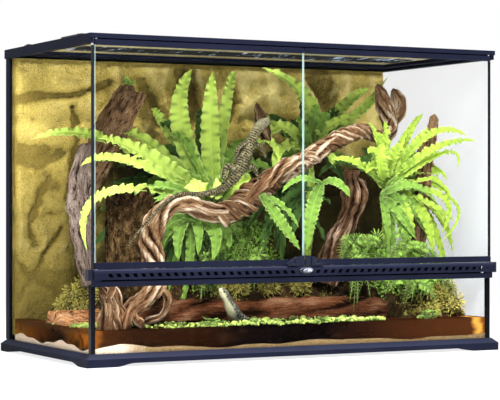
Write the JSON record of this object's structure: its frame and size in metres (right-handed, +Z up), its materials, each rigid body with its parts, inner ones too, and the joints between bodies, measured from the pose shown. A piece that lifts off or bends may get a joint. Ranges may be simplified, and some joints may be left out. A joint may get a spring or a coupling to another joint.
{
  "type": "reptile terrarium",
  "caption": "Front-opening glass terrarium with two hinged doors over a vent strip and lock, a lift-out mesh lid with a strip light, and a planted interior with shallow water.",
  "frame": {"origin": "Centre of the overall footprint, on the surface that the base frame stands on; the knob and the rear edge of the base frame are the footprint's front and rear", "axes": "+X to the right seen from the doors, along the width; -Y is the front, where the doors are; +Z is up"},
  "size_m": [0.9, 0.461, 0.6207],
  "materials": {
    "frame_black": "satin",
    "lock_shell": "gloss",
    "glass_clear": "gloss",
    "rubber_black": "matte",
    "steel_pins": "satin",
    "mesh_steel": "satin",
    "light_case": "satin",
    "light_caps": "matte",
    "reflector_metal": "polished",
    "lamp_glass": "gloss",
    "lens_plastic": "gloss",
    "rock_foam": "matte",
    "sand": "matte",
    "water": "gloss",
    "soil": "matte",
    "driftwood": "matte",
    "cork_bark": "matte",
    "leaf_bright": "satin",
    "leaf_dark": "satin",
    "moss_green": "matte",
    "lizard_skin": "satin"
  },
  "bodies": {
    "cabinet": {"base_frame": "frame_black", "floor_glass": "glass_clear", "back_glass": "glass_clear", "left_glass": "glass_clear", "right_glass": "glass_clear", "front_window": "glass_clear", "rear_corner_posts": "frame_black", "door_seals": "rubber_black", "top_frame": "frame_black", "vent_strip": "frame_black", "vent_gauze": "mesh_steel", "vent_end_caps": "lock_shell", "hinge_pins": "steel_pins", "rock_wall": "rock_foam", "sand_bed": "sand", "water_fill": "water", "planting_bank": "soil", "waterline_log": "cork_bark", "driftwood_vine": "driftwood", "driftwood_trunk": "driftwood", "corner_root": "driftwood", "cork_half_pipe": "cork_bark", "cork_slab": "cork_bark", "cork_stump": "cork_bark", "cork_stick": "cork_bark", "shore_cork": "cork_bark", "fern_left": "leaf_bright", "fern_middle": "leaf_bright", "fern_right": "leaf_bright", "broad_leaf_plant": "leaf_dark", "fine_creepers": "leaf_dark", "moss": "moss_green", "lizard_figures": "lizard_skin"},
    "left_door": {"left_door_glass": "glass_clear", "left_door_top_rail": "frame_black", "left_door_bottom_rail": "frame_black", "left_door_grip": "frame_black"},
    "right_door": {"right_door_glass": "glass_clear", "right_door_top_rail": "frame_black", "right_door_bottom_rail": "frame_black", "right_door_grip": "frame_black"},
    "lock": {"lock_knob": "lock_shell", "lock_shaft": "steel_pins", "lock_cam": "steel_pins"},
    "lid": {"lid_frame": "frame_black", "lid_mesh_left": "mesh_steel", "lid_mesh_right": "mesh_steel", "light_housing": "light_case", "light_end_caps": "light_caps", "light_reflector": "reflector_metal", "light_tubes": "lamp_glass", "light_lens": "lens_plastic"},
    "latch_front_left": {"latch_front_left": "frame_black"},
    "latch_front_right": {"latch_front_right": "frame_black"},
    "latch_rear_left": {"latch_rear_left": "frame_black"},
    "latch_rear_right": {"latch_rear_right": "frame_black"},
    "cable_gate_1": {"cable_gate_1": "frame_black"},
    "cable_gate_2": {"cable_gate_2": "frame_black"},
    "cable_gate_3": {"cable_gate_3": "frame_black"},
    "cable_gate_4": {"cable_gate_4": "frame_black"}
  },
  "joints": [
    {"name": "left_door_hinge", "type": "hinge", "parent": "cabinet", "child": "left_door", "pos_m": [-0.43, -0.2125, 0.3825], "axis": [0, 0, 1], "range_deg": [-110, 0]},
    {"name": "right_door_hinge", "type": "hinge", "parent": "cabinet", "child": "right_door", "pos_m": [0.43, -0.2125, 0.3825], "axis": [0, 0, 1], "range_deg": [0, 110]},
    {"name": "lock_turn", "type": "hinge", "parent": "cabinet", "child": "lock", "pos_m": [0, -0.2175, 0.169], "axis": [0, -1, 0], "range_deg": [0, 90]},
    {"name": "lid_lift", "type": "slide", "parent": "cabinet", "child": "lid", "axis": [0, 0, 1], "range_m": [0, 0.2]},
    {"name": "latch_front_left_turn", "type": "hinge", "parent": "cabinet", "child": "latch_front_left", "pos_m": [-0.434, -0.1445, 0.604], "axis": [0, 0, 1], "range_deg": [-90, 0]},
    {"name": "latch_rear_left_turn", "type": "hinge", "parent": "cabinet", "child": "latch_rear_left", "pos_m": [-0.434, 0.1155, 0.604], "axis": [0, 0, 1], "range_deg": [-90, 0]},
    {"name": "latch_front_right_turn", "type": "hinge", "parent": "cabinet", "child": "latch_front_right", "pos_m": [0.434, -0.1445, 0.604], "axis": [0, 0, 1], "range_deg": [0, 90]},
    {"name": "latch_rear_right_turn", "type": "hinge", "parent": "cabinet", "child": "latch_rear_right", "pos_m": [0.434, 0.1155, 0.604], "axis": [0, 0, 1], "range_deg": [0, 90]},
    {"name": "cable_gate_1_slide", "type": "slide", "parent": "cabinet", "child": "cable_gate_1", "axis": [1, 0, 0], "range_m": [0, 0.03]},
    {"name": "cable_gate_2_slide", "type": "slide", "parent": "cabinet", "child": "cable_gate_2", "axis": [1, 0, 0], "range_m": [0, 0.03]},
    {"name": "cable_gate_3_slide", "type": "slide", "parent": "cabinet", "child": "cable_gate_3", "axis": [1, 0, 0], "range_m": [0, 0.03]},
    {"name": "cable_gate_4_slide", "type": "slide", "parent": "cabinet", "child": "cable_gate_4", "axis": [1, 0, 0], "range_m": [0, 0.03]}
  ]
}
